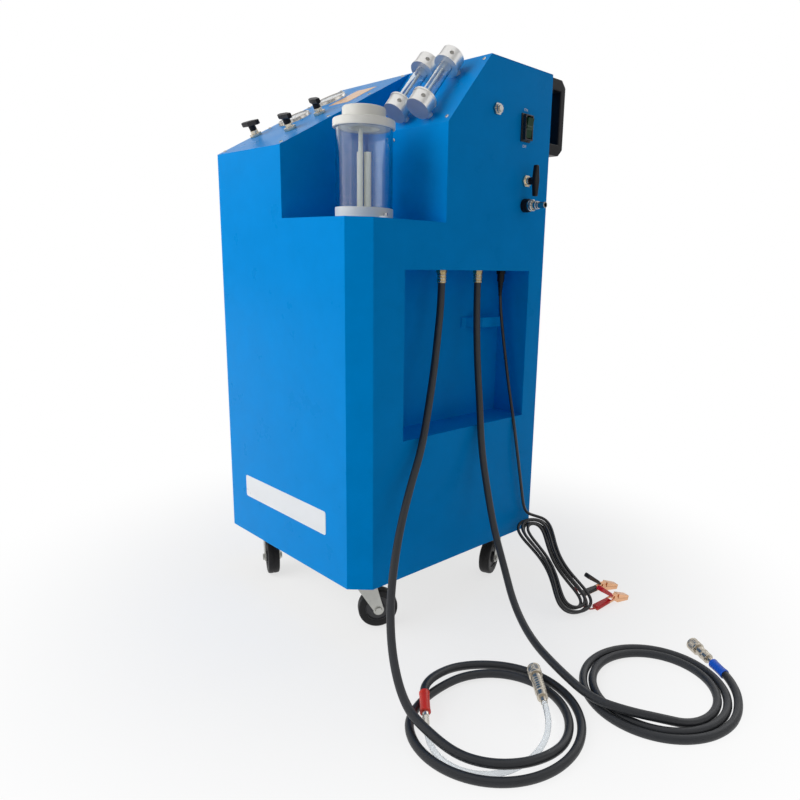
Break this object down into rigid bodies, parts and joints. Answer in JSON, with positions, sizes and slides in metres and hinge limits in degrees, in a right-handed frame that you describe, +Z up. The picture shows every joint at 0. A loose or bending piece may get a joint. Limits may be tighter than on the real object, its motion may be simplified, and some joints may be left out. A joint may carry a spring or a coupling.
{
  "type": "coolant flush machine",
  "caption": "Wheeled cabinet that exchanges engine coolant, with valves, gauges, a clear cup, flow tubes, two hoses and a battery lead with clamps.",
  "frame": {"origin": "on the floor below the middle of the machine without its cords", "axes": "+Z up, the front faces -Y, the side with the hose bay faces +X"},
  "size_m": [1.0302, 0.6696, 1.0648],
  "materials": {
    "blue_powder_coat": "fine textured powder coat",
    "zinc_steel": "bright zinc",
    "screws": "plated",
    "black_plastic": "fine grain",
    "tank_plastic": "milky",
    "pump": "satin",
    "black_rubber": "matt",
    "cable_sheath": "smooth",
    "clear_hose": "soft clear",
    "chrome": "polished",
    "brass": "satin",
    "gauge_case": "grey rim and white dial",
    "needle": "matt",
    "clear_glass": "clear",
    "ivory_plastic": "satin",
    "flow_caps": "pale satin",
    "rocker_green": "dark green",
    "wheel_rubber": "matt",
    "clamp_black": "sleeved grip, copper jaws",
    "clamp_red": "sleeved grip, copper jaws"
  },
  "bodies": {
    "cabinet": {"alcove_liner": "blue_powder_coat", "base_tray": "zinc_steel", "bay_fittings": "brass", "bay_liner": "blue_powder_coat", "button_bezel": "chrome", "cable_hank": "cable_sheath", "caster_plates": "zinc_steel", "clamp_black_lower": "clamp_black", "clamp_red_lower": "clamp_red", "clear_tube": "clear_hose", "control_panel": "blue_powder_coat", "coolant_tanks": "tank_plastic", "cup_base": "ivory_plastic", "cup_collar": "ivory_plastic", "cup_cylinder": "clear_glass", "cup_pipes": "ivory_plastic", "drain_coupler": "chrome", "flow_caps": "flow_caps", "flow_glasses": "clear_glass", "flow_panel": "blue_powder_coat", "gauge_cases": "gauge_case", "gauge_lenses": "clear_glass", "inner_lines": "black_rubber", "left_side_panel": "blue_powder_coat", "main_shell": "blue_powder_coat", "panel_screws": "screws", "power_cable": "cable_sheath", "pump": "pump", "rear_handles": "black_plastic", "rear_panel": "blue_powder_coat", "return_coil": "black_rubber", "return_coupler": "chrome", "return_hose": "black_rubber", "rocker_housing": "black_plastic", "supply_coil": "black_rubber", "supply_coupler": "chrome", "supply_hose": "black_rubber", "top_cover": "blue_powder_coat", "valve_bodies": "chrome"},
    "valve_handle_left_body": {"valve_handle_left": "black_plastic"},
    "valve_handle_middle_body": {"valve_handle_middle": "black_plastic"},
    "valve_handle_right_body": {"valve_handle_right": "black_plastic"},
    "side_valve_handle_body": {"side_valve_handle": "black_plastic"},
    "gauge_needle_lower_body": {"gauge_needle_lower": "needle"},
    "gauge_needle_upper_body": {"gauge_needle_upper": "needle"},
    "button_cap_body": {"button_cap": "chrome"},
    "rocker_body": {"rocker_paddle": "rocker_green"},
    "cup_lid_body": {"cup_lid": "ivory_plastic"},
    "caster_front_left": {"caster_fork_front_left": "zinc_steel"},
    "wheel_front_left": {"caster_wheel_front_left": "wheel_rubber"},
    "caster_front_right": {"caster_fork_front_right": "zinc_steel"},
    "wheel_front_right": {"caster_wheel_front_right": "wheel_rubber"},
    "caster_back_right": {"caster_fork_back_right": "zinc_steel"},
    "wheel_back_right": {"caster_wheel_back_right": "wheel_rubber"},
    "caster_back_left": {"caster_fork_back_left": "zinc_steel"},
    "wheel_back_left": {"caster_wheel_back_left": "wheel_rubber"},
    "return_coupler_collar_body": {"return_coupler_collar": "chrome"},
    "supply_coupler_collar_body": {"supply_coupler_collar": "chrome"},
    "clamp_black_upper_body": {"clamp_black_upper": "clamp_black"},
    "clamp_red_upper_body": {"clamp_red_upper": "clamp_red"}
  },
  "joints": [
    {"name": "valve_handle_left_turn", "type": "hinge", "parent": "cabinet", "child": "valve_handle_left_body", "pos_m": [-0.2289, -0.18962, 0.92325], "axis": [0, -0.4964, 0.8681], "range_deg": [0, 90]},
    {"name": "valve_handle_middle_turn", "type": "hinge", "parent": "cabinet", "child": "valve_handle_middle_body", "pos_m": [-0.0978, -0.19265, 0.92152], "axis": [0, -0.4964, 0.8681], "range_deg": [-75, 15]},
    {"name": "valve_handle_right_turn", "type": "hinge", "parent": "cabinet", "child": "valve_handle_right_body", "pos_m": [-0.0978, -0.1261, 0.95958], "axis": [0, -0.4964, 0.8681], "range_deg": [-68, 22]},
    {"name": "side_valve_handle_turn", "type": "hinge", "parent": "cabinet", "child": "side_valve_handle_body", "pos_m": [0.1994, 0.14755, 0.845], "axis": [1, 0, 0], "range_deg": [0, 90]},
    {"name": "gauge_needle_lower_turn", "type": "hinge", "parent": "cabinet", "child": "gauge_needle_lower_body", "pos_m": [-0.1875, -0.1261, 0.95958], "axis": [0, -0.4964, 0.8681], "range_deg": [-270, 0], "stiffness_Nm_per_rad": 0.0001, "springref_deg": 28.65},
    {"name": "gauge_needle_upper_turn", "type": "hinge", "parent": "cabinet", "child": "gauge_needle_upper_body", "pos_m": [-0.1875, -0.03686, 1.01062], "axis": [0, -0.4964, 0.8681], "range_deg": [-270, 0], "stiffness_Nm_per_rad": 0.0001, "springref_deg": 28.65},
    {"name": "button_press", "type": "slide", "parent": "cabinet", "child": "button_cap_body", "axis": [-1, 0, 0], "range_m": [0, 0.003], "stiffness_N_per_m": 300, "springref_m": -0.002},
    {"name": "rocker_tilt", "type": "hinge", "parent": "cabinet", "child": "rocker_body", "pos_m": [0.2064, 0.13955, 0.942], "axis": [0, 1, 0], "range_deg": [-18, 0]},
    {"name": "cup_lid_lift", "type": "slide", "parent": "cabinet", "child": "cup_lid_body", "axis": [0, 0, 1], "range_m": [0, 0.04]},
    {"name": "swivel_front_left", "type": "hinge", "parent": "cabinet", "child": "caster_front_left", "pos_m": [-0.1946, -0.20825, 0.0932], "axis": [0, 0, 1], "continuous": true},
    {"name": "roll_front_left", "type": "hinge", "parent": "caster_front_left", "child": "wheel_front_left", "pos_m": [-0.17176, -0.21842, 0.0375], "axis": [-0.4067, -0.9135, 0], "continuous": true},
    {"name": "swivel_front_right", "type": "hinge", "parent": "cabinet", "child": "caster_front_right", "pos_m": [0.1444, -0.20825, 0.0932], "axis": [0, 0, 1], "continuous": true},
    {"name": "roll_front_right", "type": "hinge", "parent": "caster_front_right", "child": "wheel_front_right", "pos_m": [0.15765, -0.18705, 0.0375], "axis": [0.848, -0.5299, 0], "continuous": true},
    {"name": "swivel_back_right", "type": "hinge", "parent": "cabinet", "child": "caster_back_right", "pos_m": [0.1444, 0.16225, 0.0932], "axis": [0, 0, 1], "continuous": true},
    {"name": "roll_back_right", "type": "hinge", "parent": "caster_back_right", "child": "wheel_back_right", "pos_m": [0.15377, 0.13907, 0.0375], "axis": [-0.9272, -0.3746, 0], "continuous": true},
    {"name": "swivel_back_left", "type": "hinge", "parent": "cabinet", "child": "caster_back_left", "pos_m": [-0.1946, 0.16225, 0.0932], "axis": [0, 0, 1], "continuous": true},
    {"name": "roll_back_left", "type": "hinge", "parent": "caster_back_left", "child": "wheel_back_left", "pos_m": [-0.17412, 0.14791, 0.0375], "axis": [-0.5736, -0.8192, 0], "continuous": true},
    {"name": "return_coupler_collar_slide", "type": "slide", "parent": "cabinet", "child": "return_coupler_collar_body", "axis": [0.7521, -0.6591, 0], "range_m": [0, 0.003], "stiffness_N_per_m": 250, "springref_m": -0.003},
    {"name": "supply_coupler_collar_slide", "type": "slide", "parent": "cabinet", "child": "supply_coupler_collar_body", "axis": [0.8526, -0.5226, 0], "range_m": [0, 0.003], "stiffness_N_per_m": 250, "springref_m": -0.003},
    {"name": "clamp_black_open", "type": "hinge", "parent": "cabinet", "child": "clamp_black_upper_body", "pos_m": [0.38144, 0.25269, 0.0133], "axis": [0.9464, -0.3231, 0], "range_deg": [0, 18], "stiffness_Nm_per_rad": 0.3, "springref_deg": -14.32},
    {"name": "clamp_red_open", "type": "hinge", "parent": "cabinet", "child": "clamp_red_upper_body", "pos_m": [0.4271, 0.22468, 0.0133], "axis": [0.9766, -0.2149, 0], "range_deg": [0, 18], "stiffness_Nm_per_rad": 0.3, "springref_deg": -14.32}
  ]
}
